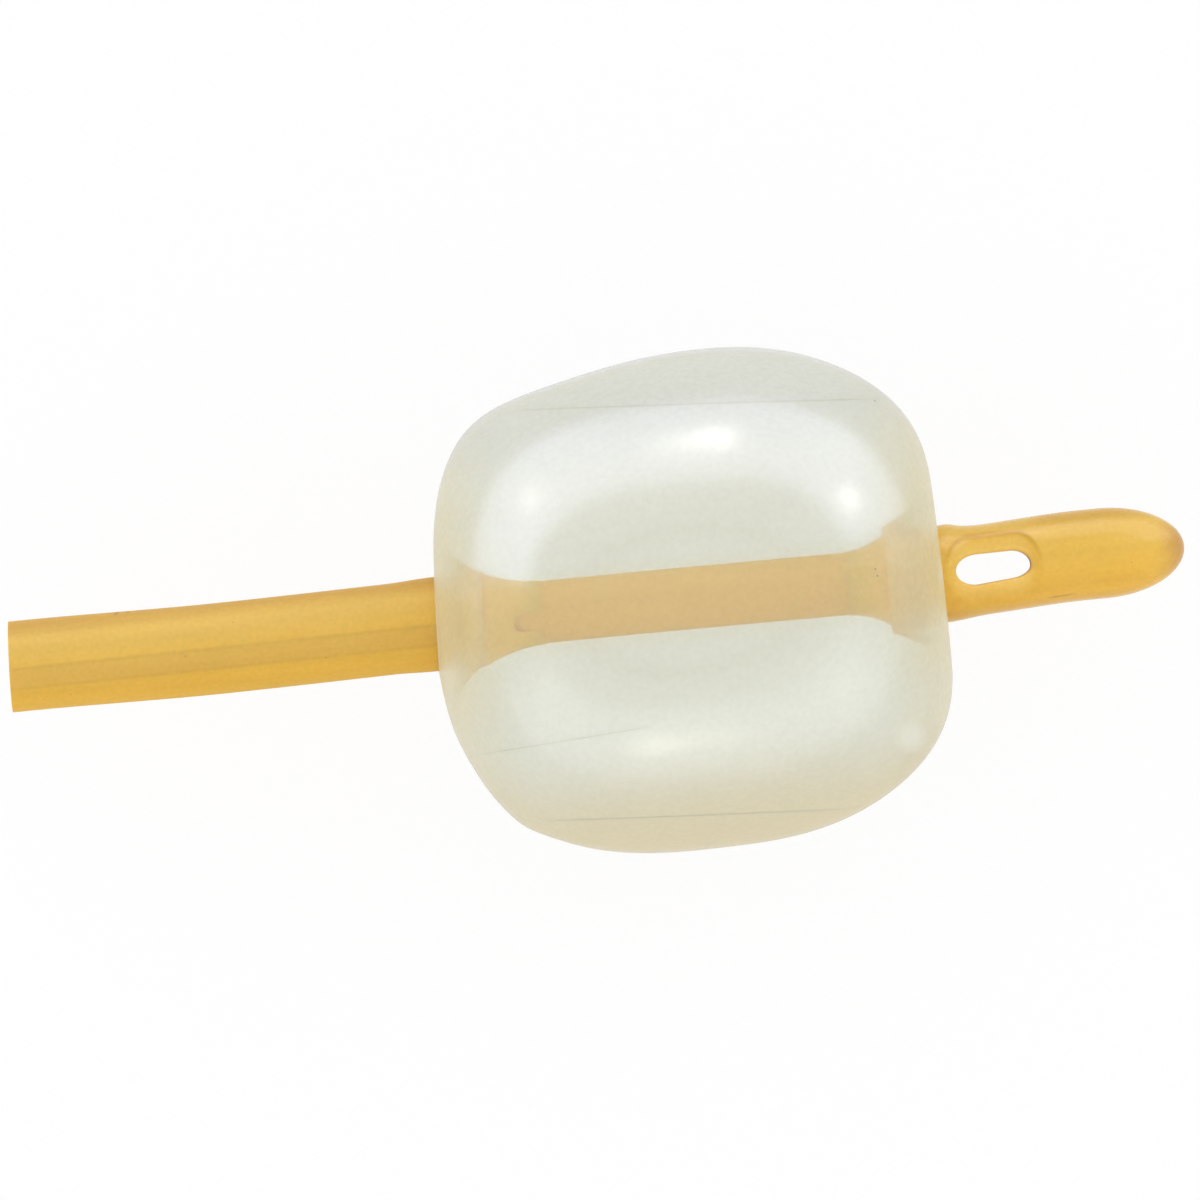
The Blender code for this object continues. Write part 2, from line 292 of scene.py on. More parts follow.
def hexColour(code):
    # sRGB to linear
    channels = [int(code[i : i + 2], 16) / 255 for i in (1, 3, 5)]
    return [c / 12.92 if c <= 0.04045 else ((c + 0.055) / 1.055) ** 2.4 for c in channels] + [1.0]


def newMaterial(name):
    material = bpy.data.materials.new(name)
    material.use_nodes = True
    material.node_tree.nodes.clear()
    return material


def addNode(holder, kind, sockets=None, **settings):
    # a socket takes a number, a colour, a node's first output, or any one output
    tree = holder.node_tree
    node = tree.nodes.new("ShaderNode" + kind)
    for name, value in settings.items():
        setattr(node, name, value)
    for name, value in (sockets or {}).items():
        if isinstance(value, bpy.types.Node):
            value = value.outputs[0]
        if isinstance(value, bpy.types.NodeSocket):
            tree.links.new(value, node.inputs[name])
        else:
            node.inputs[name].default_value = value
    return node


def perSize(size):
    # scale of a texture whose features are this many millimetres
    return 1 / (size * mm)


def inMetres(lengths):
    return [length * mm for length in lengths]


def fromTo(value, low, high, toLow=0.0, toHigh=1.0):
    # sockets of a Map Range
    return {"Value": value, "From Min": low, "From Max": high, "To Min": toLow, "To Max": toHigh}


def around(value, spread):
    return value - spread, value + spread


# balloon
film = {
    "milk": "#e3e5dd",
    # painted light: cooler and a little darker along the side towards the window, warmer along the side away
    # from it
    "windowLitMilk": "#d8dad9",  # along the side towards the window
    "endMilk": "#eae0bd",
    "awaySideLitMilk": "#dfcda0",  # along the side away from it
    # painted light: a halo of the tube's amber over and under it
    "tubeHalo": "#e7ca80",
    "thickRubber": "#eadfbc",
    # the bonded rubber's amber, made lighter as painted light against the shade inside the balloon
    "rootRubber": "#fee08c",
    "clearTint": "#fefffc",
    # share of the light that one wall scatters, and the same in each of its parts
    "haze": 0.365,
    "cloudiness": 0.01,  # how far it varies
    "windowHaze": 0.395,
    "lowHaze": 0.5,
    "endHaze": 0.6,
    "lastHaze": 0.85,
    "rootHaze": 0.96,
    # where each part starts and where it is full, as shares of the way to an end
    "nearEnd": (0.64, 0.95),
    "lastPart": (0.88, 1),
    # and in mm across, with what is left of the ends' warmth on either side, where it is cut back as painted
    # light
    "windowSide": (9, 14),
    "lowSide": (-9, -17),
    "warmTowards": (2, 14),
    "warmthTowards": 0.25,
    "warmAway": (-2, -8),
    "warmthAway": 0.55,
    "tubeSide": (1.6, 3.7),
    "tubeTone": 0.28,
    # depth of rubber in mm at which it is solid, outside and inside, and bonded
    "solidOutside": 1.4,
    "solidInside": 3.3,
    "bonded": (1.0, 3.0),
    "backLit": 0.35,  # share of the milk that lets light through
    "cloudSize": 7,
    "cloudSpan": (0.25, 0.75),
    "grainSize": 0.45,  # powdery, drawn as coarse as it needs to show
    "grainShade": 0.03,
    "rippleSize": 2.2,
    "rippleStrength": 0.3,
    "rippleHeight": 0.1,
    "gloss": 0.22,
    "glossSpread": 0.03,
    "headOnGloss": 0.043,  # what rubber of IOR 1.52 reflects when seen square on
    "edgeGloss": 0.2,
    "innerGloss": 1.4,
    "glossTint": "#ffffff",
    "innerGlossTint": "#fff7df",  # the film has coloured this light
    # fine straight scratches, from and to in plan, in mm
    "scratches": (
        ((-13.1, 15.2), (15.6, 13.1)),
        ((-17.7, -9.6), (-2.9, -8.7)),
        ((-13.8, -14.8), (10.3, -16.4)),
    ),
    "scratchShade": "#b2b19f",
    "scratchWidth": 0.09,
    "scratchEase": 3,  # length over which an end fades
    "scratchHaze": 0.18,
    # flecks in the film, each with its place in plan and its radius, in mm
    "flecks": (
        (13.0, 0.85, 0.14),
        (13.1, 0.35, 0.16),
        (14.4, 13.05, 0.12),
        (-5.6, 15.2, 0.08),
        (9.2, -1.2, 0.08),
    ),
    "fleckShade": "#8d8a7c",
    "fleckHaze": 0.4,
    "paleSpots": ((14.4, -11.5, 1.4),),
    "paleShade": "#f0f0e6",
    "markFade": 1,  # the marks are on the upper half, and end over this height
}


def wallAt(radius, holeRadius):
    left = 1 - min(max((radius - holeRadius) / balloon["rootSpread"], 0.0), 1.0)
    return balloon["wall"] + (balloon["rootDepth"] - balloon["wall"]) * left ** balloon["rootFall"]


def underSkin(angle, holeRadius):
    turn = math.radians(0.1)  # small enough to give the skin's slope
    x, radius = skinPoint(angle)
    xBefore, radiusBefore = skinPoint(angle - turn)
    xAfter, radiusAfter = skinPoint(angle + turn)
    runX, runR = xAfter - xBefore, radiusAfter - radiusBefore
    wall = wallAt(radius, holeRadius) / math.hypot(runX, runR)
    return x - wall * runR, max(radius + wall * runX, holeRadius)


def onBalloon(x, y, z):
    radius = math.hypot(y, z)
    reach = math.hypot(x, radius)
    depth = skinReach(math.atan2(radius, x)) - reach
    free = smoothStep((radius - frontHole) / balloon["rootSpread"])
    push = 0.0
    for direction, height, width in balloon["unevenPlaces"]:
        turn = math.radians(direction)
        along = (x * math.cos(turn) + y * math.sin(turn)) / reach
        push += bump(height, math.acos(min(along, 1.0)), math.radians(width))
    grown = 1 + push * free / reach
    x, y, z = x * grown, y * grown, z * grown
    heldY = y + setOf(x)
    freeY = y + balloon["lean"] * x - balloon["drop"]
    # pressed flat by the table, with an eased rim
    floorZ = depth - axisHeight
    softness = balloon["pressSoftness"]
    ease = max(softness - abs(z - floorZ), 0.0) ** 2 / (4 * softness)
    inwards = balloon["backRootTilt"] * max(y + backHole, 0.0) if x < 0 else -balloon["frontRootIn"]
    x += inwards * (1 - free) - balloon["lean"] * y * free
    return x, heldY + (freeY - heldY) * free, max(z, floorZ) + ease


def buildBalloon(skinFilm, innerFilm):
    spread, step = balloon["rootSpread"], balloon["rootStep"]
    rootAngles = [angleAt(r, True) for r in stations(frontHole, frontHole + spread, step)]
    backAngles = [angleAt(r, False) for r in stations(backHole + spread, backHole, step)]
    between = stations(rootAngles[-1], backAngles[0], math.radians(balloon["skinStep"]))
    angles = rootAngles + between[1:-1] + backAngles
    skin = [skinPoint(angle) for angle in angles]
    inside = [underSkin(a, frontHole if a < math.pi / 2 else backHole) for a in reversed(angles)]
    mesh = turnedMesh("balloonMembrane", skin + inside, balloon["turnSteps"])
    innerSide = []
    for face in mesh.polygons:
        x, y, z = face.center
        radius = math.hypot(y, z)
        innerSide.append(skinReach(math.atan2(radius, x)) - math.hypot(x, radius) > balloon["wall"] / 3)
    # the rubber's depth here in mm, which the finish turns to amber where it is thick
    depth = mesh.attributes.new("rubberDepth", "FLOAT", "POINT")
    for vertex in mesh.vertices:
        x, y, z = vertex.co
        depth.data[vertex.index].value = wallAt(math.hypot(y, z), frontHole if x > 0 else backHole)
    movePoints(mesh, onBalloon)
    standIn(newPiece("balloonMembrane", mesh), "milky_membrane", "balloon", skinFilm, innerFilm)
    for face, inner in zip(mesh.polygons, innerSide):
        face.material_index = 1 if inner else 0


def scratchMarks(material, place, look):
    # each scratch is a thin straight band, laid out in plan, that fades at both ends
    marks = None
    ease = look["scratchEase"]
    for (x0, y0), (x1, y1) in look["scratches"]:
        length = math.hypot(x1 - x0, y1 - y0)
        turn = math.atan2(y1 - y0, x1 - x0)
        start = {"Vector": place, "Location": (x0 * mm, y0 * mm, 0), "Rotation": (0, 0, turn)}
        local = addNode(material, "Mapping", start, vector_type="TEXTURE")
        along, off = addNode(material, "SeparateXYZ", {0: local}).outputs[:2]
        off = addNode(material, "Math", {0: off}, operation="ABSOLUTE")
        line = addNode(material, "MapRange", fromTo(off, 0, look["scratchWidth"] * mm, 1, 0))
        rise = addNode(material, "MapRange", fromTo(along, 0, ease * mm))
        fall = addNode(material, "MapRange", fromTo(along, (length - ease) * mm, length * mm, 1, 0))
        ends = addNode(material, "Math", {0: rise, 1: fall}, operation="MULTIPLY")
        mark = addNode(material, "Math", {0: line, 1: ends}, operation="MULTIPLY")
        marks = addNode(material, "Math", {0: marks, 1: mark}, operation="MAXIMUM") if marks else mark
    return marks


def fleckMarks(material, place, flecks):
    plan = addNode(material, "VectorMath", {0: place, 1: (1, 1, 0)}, operation="MULTIPLY")
    marks = None
    for x, y, radius in flecks:
        centre = {0: plan, 1: (x * mm, y * mm, 0)}
        away = addNode(material, "VectorMath", centre, operation="DISTANCE").outputs["Value"]
        mark = addNode(material, "MapRange", fromTo(away, radius * mm / 3, radius * mm, 1, 0))
        marks = addNode(material, "Math", {0: marks, 1: mark}, operation="MAXIMUM") if marks else mark
    return marks


def inflatedLatexFilm(name, outer):
    # natural rubber latex, dipped and blown up thin: milky and half clear with a soft gloss,
    # and pale amber that hides what is behind it where it is thick
    material = newMaterial(name)
    place = addNode(material, "TexCoord").outputs["Object"]
    x, y, z = addNode(material, "SeparateXYZ", {0: place}).outputs
    depth = addNode(material, "Attribute", attribute_name="rubberDepth").outputs["Fac"]
    cloudy = {"Vector": place, "Scale": perSize(film["cloudSize"]), "Detail": 3}
    clouds = addNode(material, "TexNoise", cloudy)
    powdery = {"Vector": place, "Scale": perSize(film["grainSize"]), "Detail": 1}
    grain = addNode(material, "TexNoise", powdery)

    # warmer towards the ends, where the film is less stretched; painted light also makes it cooler and a
    # little darker along the side towards the window, and warmer along the side away from it
    toBack = addNode(material, "Math", {0: x, 1: backFace * mm}, operation="DIVIDE")
    toFront = addNode(material, "Math", {0: x, 1: frontFace * mm}, operation="DIVIDE")
    far = addNode(material, "Math", {0: toBack, 1: toFront}, operation="MAXIMUM")
    nearEnd = addNode(material, "MapRange", fromTo(far, *film["nearEnd"]), **eased)
    lastPart = addNode(material, "MapRange", fromTo(far, *film["lastPart"]), **eased)
    warmTowards = fromTo(y, *inMetres(film["warmTowards"]), 1, film["warmthTowards"])
    warmAway = fromTo(y, *inMetres(film["warmAway"]), 1, film["warmthAway"])
    towards = addNode(material, "MapRange", warmTowards)
    away = addNode(material, "MapRange", warmAway)
    lit = addNode(material, "Math", {0: towards, 1: away}, operation="MINIMUM")
    ends = addNode(material, "Math", {0: nearEnd, 1: lit}, operation="MULTIPLY")
    low = addNode(material, "MapRange", fromTo(y, *inMetres(film["lowSide"])), **eased)
    high = addNode(material, "MapRange", fromTo(y, *inMetres(film["windowSide"])), **eased)
    # painted light: over and under the tube the film takes a halo of the tube's amber light
    fromTube = addNode(material, "Math", {0: y, 1: balloon["drop"] * mm}, operation="SUBTRACT")
    fromTube = addNode(material, "Math", {0: fromTube}, operation="ABSOLUTE")
    tubeHalo = fromTo(fromTube, *inMetres(film["tubeSide"]), film["tubeTone"], 0)
    tubeHalo = addNode(material, "MapRange", tubeHalo, **eased)
    thick = fromTo(depth, balloon["wall"], film["solidOutside"] if outer else film["solidInside"])
    thick = addNode(material, "MapRange", thick, **eased)
    tones = [
        (high, "windowLitMilk"),
        (ends, "endMilk"),
        (low, "awaySideLitMilk"),
        (tubeHalo, "tubeHalo"),
        (thick, "thickRubber"),
    ]
    if not outer:
        # the bonded root's amber, lightened as painted light
        bonded = addNode(material, "MapRange", fromTo(depth, *film["bonded"]), **eased)
        tones.append((bonded, "rootRubber"))
    milk = hexColour(film["milk"])
    for share, tone in tones:
        mixed = {0: share, 6: milk, 7: hexColour(film[tone])}
        milk = addNode(material, "Mix", mixed, **inColour).outputs[2]
    shade = addNode(material, "MapRange", fromTo(grain, *noiseSpan, *around(1, film["grainShade"])))
    grained = {0: 1.0, 6: milk, 7: shade}
    milk = addNode(material, "Mix", grained, blend_type="MULTIPLY", **inColour).outputs[2]

    haze = addNode(material, "Math", {0: thick, 1: film["rootHaze"]}, operation="MULTIPLY")
    if outer:
        half = fromTo(z, axisHeight * mm, (axisHeight + film["markFade"]) * mm)
        above = addNode(material, "MapRange", half)
        scratched = scratchMarks(material, place, film)
        scratched = addNode(material, "Math", {0: scratched, 1: above}, operation="MULTIPLY")
        flecked = fleckMarks(material, place, film["flecks"])
        flecked = addNode(material, "Math", {0: flecked, 1: above}, operation="MULTIPLY")
        pale = fleckMarks(material, place, film["paleSpots"])
        pale = addNode(material, "Math", {0: pale, 1: above}, operation="MULTIPLY")
        for share, tone in ((scratched, "scratchShade"), (flecked, "fleckShade"), (pale, "paleShade")):
            mixed = {0: share, 6: milk, 7: hexColour(film[tone])}
            milk = addNode(material, "Mix", mixed, **inColour).outputs[2]
        cloudHaze = fromTo(clouds, *film["cloudSpan"], *around(film["haze"], film["cloudiness"]))
        thin = addNode(material, "MapRange", cloudHaze)
        rises = (
            (nearEnd, film["endHaze"] - film["haze"]),
            (lastPart, film["lastHaze"] - film["endHaze"]),
            (low, film["lowHaze"] - film["haze"]),
            (high, film["windowHaze"] - film["haze"]),
        )
        for part, amount in rises:
            thin = addNode(material, "Math", {0: part, 1: amount, 2: thin}, operation="MULTIPLY_ADD")
        haze = addNode(material, "Math", {0: haze, 1: thin}, operation="MAXIMUM")
        marked = {0: scratched, 1: film["scratchHaze"], 2: haze}
        haze = addNode(material, "Math", marked, operation="MULTIPLY_ADD")
        marked = {0: flecked, 1: film["fleckHaze"], 2: haze}
        haze = addNode(material, "Math", marked, operation="MULTIPLY_ADD", use_clamp=True)

    diffuse = addNode(material, "BsdfDiffuse", {"Color": milk})
    backLit = addNode(material, "BsdfTranslucent", {"Color": milk})
    body = addNode(material, "MixShader", {0: film["backLit"], 1: diffuse, 2: backLit})
    clear = addNode(material, "BsdfTransparent", {"Color": hexColour(film["clearTint"])})
    layered = addNode(material, "MixShader", {0: haze, 1: clear, 2: body})

    # soft gloss, broken a little by the dipped surface
    rippled = {"Vector": place, "Scale": perSize(film["rippleSize"]), "Detail": 2}
    ripple = addNode(material, "TexNoise", rippled)
    dipped = {"Strength": film["rippleStrength"], "Distance": film["rippleHeight"] * mm, "Height": ripple}
    skin = addNode(material, "Bump", dipped)
    rough = fromTo(clouds, *noiseSpan, *around(film["gloss"], film["glossSpread"]))
    rough = addNode(material, "MapRange", rough)
    tint = hexColour(film["glossTint"] if outer else film["innerGlossTint"])
    gloss = addNode(material, "BsdfGlossy", {"Color": tint, "Roughness": rough, "Normal": skin})
    # rubber mirrors more at a glancing angle, by the fifth power
    facing = addNode(material, "LayerWeight", {"Blend": 0.5}).outputs["Facing"]
    grazing = addNode(material, "Math", {0: facing, 1: 5.0}, operation="POWER")
    edge = {0: grazing, 1: film["edgeGloss"], 2: film["headOnGloss"]}
    share = addNode(material, "Math", edge, operation="MULTIPLY_ADD")
    if not outer:
        share = addNode(material, "Math", {0: share, 1: film["innerGloss"]}, operation="MULTIPLY")
    surface = addNode(material, "MixShader", {0: share, 1: layered, 2: gloss})
    addNode(material, "OutputMaterial", {"Surface": surface})
    return material


# amber latex of the tube, the overcoat and the tip; the paler high tone, on the side towards the window, is
# painted light
tubeLook = {"low": "#f2b91f", "high": "#f4bd29", "roughness": 0.5, "shine": 0.2}
overcoatLook = {
    "low": "#e3b245",
    "high": "#e4bb57",
    "roughness": 0.6,
    "shine": 0.2,  # a powdery surface that hardly mirrors
    "edgeShade": "#cf9f47",
    "shadeFrom": -60,  # before the cut end, so the whole length has it
    "otherSide": 0.0,  # how much of it is on the side away from the window
    "channelBand": "#cda558",
    "channelEdge": "#c0964a",
    "channelMiddle": -0.6,  # where the inflation channel shows through, in mm along Y
    "channelHalf": 0.72,
    "channelAbove": 0.5,
    "bandFade": (0.6, 1.35),  # in halves of the channel
    "bandStrength": 0.36,
    "lineHalf": 0.24,
    "lineStrength": 0.24,
    "flecks": ((-37.6, -0.2, 0.08), (-46.3, -2.1, 0.07), (-27.4, -1.4, 0.08), (-33.9, 1.9, 0.06)),
    "scratches": (((-42.6, 3.36), (-42.15, 3.52)), ((-41.75, 3.52), (-41.35, 3.4))),
    "scratchWidth": 0.12,
    "scratchEase": 0.15,
}
tipLook = {
    "low": "#e7b444",
    "high": "#e9bf54",
    "roughness": 0.25,
    "shine": 0.25,
    "edgeShade": "#d4a43c",
    "shadeFrom": 22.5,
    "otherSide": 0.6,
    "noseEnd": "#cc9a54",
    "noseFade": (-2.4, 0.2),  # from the nose's end
    # painted light: the lighter tone in each eye's dip
    "lip": "#f8d070",
    "dipLightFade": (1, 0.45),  # in shares of the dip's rim
    "dipLightStrength": 0.8,
    # painted shade along the dip's rim
    "creaseShade": "#c08a22",
    "creaseAlong": 1.84,  # half sizes of the dip's rim round an eye, in mm
    "creaseAcross": 2.46,
    "creaseWidth": 0.15,
    "creaseStrength": 0.5,
    "creaseSide": (0.3, 2),  # mm across over which it grows towards the window
    "creaseLeast": 0.12,
    "flecks": ((31.9, -0.6, 0.06), (28.4, 1.1, 0.05)),
    "scratches": (((25.3, -2.6), (27.8, -2.45)),),
    "scratchWidth": 0.08,
    "scratchEase": 0.8,
}
rubber = {
    "ior": 1.52,
    "scatter": 0.25,
    "scatterReach": (1.0, 0.55, 0.2),
    "lowToHigh": (-3.2, 1.5),  # mm across over which the colour turns from low to high
    "sideFade": (2.2, 3.3),
    "sideShade": 0.8,
    "sideRun": 4,
    "mottleSize": 3.5,
    "mottle": 0.12,
    "grainSize": 0.35,  # powdery, drawn as coarse as it needs to show
    "grainShade": 0.035,
    "grainStrength": 0.1,
    "grainHeight": 0.02,
    "streakSize": 1.1,
    "streakStretch": 0.07,  # drawn out along the catheter, as the dipping left it
    "roughSpread": 0.05,
    "fleckShade": "#9a7440",
    "fleckStrength": 0.6,
    "fleckFade": (-0.2, 0.3),  # from the axis up
    "paintedInsideLight": "#fbc42c",  # painted light: inside the balloon it is made as bright as the tube, against the shade there
    "insideFade": (0.3, 2.5),
}


def amberLatex(name, look, paint=None):
    # natural rubber latex, dipped or moulded: dull amber that lets a little light in, with a powdery grain;
    # it is paler on the side towards the window as painted light, and where painted, browner along its sides
    # as painted shade
    material = newMaterial(name)
    place = addNode(material, "TexCoord").outputs["Object"]
    axes = addNode(material, "SeparateXYZ", {0: place}).outputs
    x, y, z = axes
    mottled = {"Vector": place, "Scale": perSize(rubber["mottleSize"]), "Detail": 3}
    mottle = addNode(material, "TexNoise", mottled)
    grain = addNode(material, "TexNoise", {"Vector": place, "Scale": perSize(rubber["grainSize"])})
    stretch = {0: place, 1: (rubber["streakStretch"], 1, 1)}
    drawn = addNode(material, "VectorMath", stretch, operation="MULTIPLY")
    streaked = {"Vector": drawn, "Scale": perSize(rubber["streakSize"]), "Detail": 2}
    streaks = addNode(material, "TexNoise", streaked)
    # painted light: paler towards the window, turning from low to high across
    across = addNode(material, "MapRange", fromTo(y, *inMetres(rubber["lowToHigh"])), **eased)
    uneven = addNode(material, "MapRange", fromTo(mottle, *noiseSpan, *around(0, rubber["mottle"])))
    across = addNode(material, "Math", {0: across, 1: uneven}, use_clamp=True)
    toned = {0: across, 6: hexColour(look["low"]), 7: hexColour(look["high"])}
    colour = addNode(material, "Mix", toned, **inColour).outputs[2]
    if paint:
        # painted shade: browner along its sides, most on the side towards the window
        start, end = rubber["sideFade"]
        begun = look["shadeFrom"]
        along = fromTo(x, begun * mm, (begun + rubber["sideRun"]) * mm, 0, rubber["sideShade"])
        along = addNode(material, "MapRange", along)
        side = addNode(material, "MapRange", fromTo(y, start * mm, end * mm), **eased)
        side = addNode(material, "Math", {0: side, 1: along}, operation="MULTIPLY")
        otherSide = fromTo(y, -start * mm, -end * mm, 0, look["otherSide"])
        otherSide = addNode(material, "MapRange", otherSide, **eased)
        side = addNode(material, "Math", {0: side, 1: otherSide}, operation="MAXIMUM")
        shaded = {0: side, 6: colour, 7: hexColour(look["edgeShade"])}
        colour = addNode(material, "Mix", shaded, **inColour).outputs[2]
        colour = paint(material, axes, colour)
    if "flecks" in look:
        flecked = fleckMarks(material, place, look["flecks"])
        scratched = scratchMarks(material, place, look)
        flecked = addNode(material, "Math", {0: flecked, 1: scratched}, operation="MAXIMUM")
        start, end = rubber["fleckFade"]
        half = fromTo(z, (axisHeight + start) * mm, (axisHeight + end) * mm, 0, rubber["fleckStrength"])
        above = addNode(material, "MapRange", half)
        flecked = addNode(material, "Math", {0: flecked, 1: above}, operation="MULTIPLY")
        marked = {0: flecked, 6: colour, 7: hexColour(rubber["fleckShade"])}
        colour = addNode(material, "Mix", marked, **inColour).outputs[2]
    shadeSpan = around(1, rubber["grainShade"])
    shade = addNode(material, "MapRange", fromTo(grain, *noiseSpan, *shadeSpan))
    streak = addNode(material, "MapRange", fromTo(streaks, *noiseSpan, *shadeSpan))
    shade = addNode(material, "Math", {0: shade, 1: streak}, operation="MULTIPLY")
    grained = {0: 1.0, 6: colour, 7: shade}
    colour = addNode(material, "Mix", grained, blend_type="MULTIPLY", **inColour).outputs[2]
    rough = fromTo(mottle, *noiseSpan, *around(look["roughness"], rubber["roughSpread"]))
    rough = addNode(material, "MapRange", rough)
    powdery = {"Strength": rubber["grainStrength"], "Distance": rubber["grainHeight"] * mm, "Height": grain}
    skin = addNode(material, "Bump", powdery)
    body = addNode(
        material,
        "BsdfPrincipled",
        {
            "Base Color": colour,
            "Roughness": rough,
            "IOR": rubber["ior"],
            "Specular IOR Level": look["shine"],
            "Subsurface Weight": rubber["scatter"],
            "Subsurface Radius": rubber["scatterReach"],
            "Subsurface Scale": mm,
            "Normal": skin,
        },
    )
    addNode(material, "OutputMaterial", {"Surface": body})
    return material


def overcoatPaint(material, axes, colour):
    # the inflation channel shows through as a greyer band with soft darker borders
    x, y, z = axes
    off = {0: y, 1: overcoatLook["channelMiddle"] * mm}
    off = addNode(material, "Math", off, operation="SUBTRACT")
    off = addNode(material, "Math", {0: off}, operation="ABSOLUTE")
    half = overcoatLook["channelHalf"] * mm
    upper = fromTo(z, axisHeight * mm, (axisHeight + overcoatLook["channelAbove"]) * mm)
    above = addNode(material, "MapRange", upper)
    start, end = overcoatLook["bandFade"]
    band = addNode(
        material, "MapRange", fromTo(off, start * half, end * half, overcoatLook["bandStrength"], 0), **eased
    )
    fromEdge = addNode(material, "Math", {0: off, 1: half}, operation="SUBTRACT")
    fromEdge = addNode(material, "Math", {0: fromEdge}, operation="ABSOLUTE")
    line = fromTo(fromEdge, 0, overcoatLook["lineHalf"] * mm, overcoatLook["lineStrength"], 0)
    line = addNode(material, "MapRange", line, **eased)
    for share, tone in ((band, "channelBand"), (line, "channelEdge")):
        share = addNode(material, "Math", {0: share, 1: above}, operation="MULTIPLY")
        mixed = {0: share, 6: colour, 7: hexColour(overcoatLook[tone])}
        colour = addNode(material, "Mix", mixed, **inColour).outputs[2]
    # painted light: lighter inside the balloon, against the shade there
    start, end = rubber["insideFade"]
    inside = addNode(material, "MapRange", fromTo(x, (backFace + start) * mm, (backFace + end) * mm))
    bright = {0: inside, 6: colour, 7: hexColour(rubber["paintedInsideLight"])}
    return addNode(material, "Mix", bright, **inColour).outputs[2]


def tipPaint(material, axes, colour):
    x, y, z = axes
    # the solid nose is denser and browner
    start, end = tipLook["noseFade"]
    nose = addNode(material, "MapRange", fromTo(x, (noseEnd + start) * mm, (noseEnd + end) * mm), **eased)
    # painted light and shade: the dip round each eye is painted lighter, and its rim painted darker along a
    # crease, most on the side towards the window
    straight = (tip["eyeLength"] - tip["eyeWidth"]) / 2 * mm
    eyeY = (balloon["drop"] + setOf(eyeX)) * mm
    plan = addNode(material, "CombineXYZ", {0: x, 1: y})
    off = addNode(material, "VectorMath", {0: plan, 1: (eyeX * mm, eyeY, 0)}, operation="SUBTRACT")
    off = addNode(material, "VectorMath", {0: off}, operation="ABSOLUTE")
    off = addNode(material, "VectorMath", {0: off, 1: (straight, 0, 0)}, operation="SUBTRACT")
    off = addNode(material, "VectorMath", {0: off, 1: (0, 0, 0)}, operation="MAXIMUM")
    rim = (tipLook["creaseAlong"] * mm, tipLook["creaseAcross"] * mm, 1)
    off = addNode(material, "VectorMath", {0: off, 1: rim}, operation="DIVIDE")
    off = addNode(material, "VectorMath", {0: off}, operation="LENGTH").outputs["Value"]
    lip = addNode(material, "MapRange", fromTo(off, *tipLook["dipLightFade"], 0, tipLook["dipLightStrength"]))
    off = addNode(material, "Math", {0: off, 1: 1.0}, operation="SUBTRACT")
    off = addNode(material, "Math", {0: off}, operation="ABSOLUTE")
    creaseShade = fromTo(off, 0, tipLook["creaseWidth"], tipLook["creaseStrength"], 0)
    creaseShade = addNode(material, "MapRange", creaseShade, **eased)
    side = fromTo(y, *inMetres(tipLook["creaseSide"]), tipLook["creaseLeast"], 1)
    side = addNode(material, "MapRange", side)
    creaseShade = addNode(material, "Math", {0: creaseShade, 1: side}, operation="MULTIPLY")
    for share, tone in ((nose, "noseEnd"), (lip, "lip"), (creaseShade, "creaseShade")):
        mixed = {0: share, 6: colour, 7: hexColour(tipLook[tone])}
        colour = addNode(material, "Mix", mixed, **inColour).outputs[2]
    # painted light: lighter inside the balloon, against the shade there
    start, end = rubber["insideFade"]
    inside = addNode(material, "MapRange", fromTo(x, (frontFace - start) * mm, (frontFace - end) * mm))
    bright = {0: inside, 6: colour, 7: hexColour(rubber["paintedInsideLight"])}
    return addNode(material, "Mix", bright, **inColour).outputs[2]


def tubeLine(x, y, z):
    # the cut face alone is slanted
    if x < cutEnd + 0.001:
        x += y * math.tan(math.radians(shaft["cutSlant"]))
    return x, y + setOf(x), z


def buildTube(finish):
    along = stations(cutEnd, tubeEnd, shaft["tubeStep"])
    outline = [(x, tubeRadius) for x in reversed(along)] + [(x, boreRadius) for x in along]
    mesh = turnedMesh("drainageTubeLatex", outline, shaft["turnSteps"])
    movePoints(mesh, tubeLine)
    standIn(newPiece("drainageTubeLatex", mesh), "amber_latex", "drainage_tube", finish)


def runOut(fullRadius, left):
    least = seatRadius + shaft["feather"]
    return least + (fullRadius - least) * min(max(left, 0.0), 1.0) ** 2


def coatRadius(x):
    if x > coatFullEnd:
        return runOut(backRoot, (coatEnd - x) / shaft["coatTaper"])
    swell = smoothStep((x - backFace + shaft["rootSwell"]) / shaft["rootSwell"])
    return shaftRadius + (backRoot - shaftRadius) * swell


def inWall(x, y, z):
    # from a rod of radius 1 to the channel's place in the overcoat
    turn = math.radians(channel["angle"])
    run = channel["endRun"]
    shallower = 1 - channel["endShallower"] * smoothStep((x - coatFullEnd + run / 2) / run)
    side = y * channel["width"] / 2
    out = seatRadius + z * channel["depth"] * shallower
    sideways = side * math.cos(turn) - out * math.sin(turn)
    return x, sideways + setOf(x), side * math.sin(turn) + out * math.cos(turn)


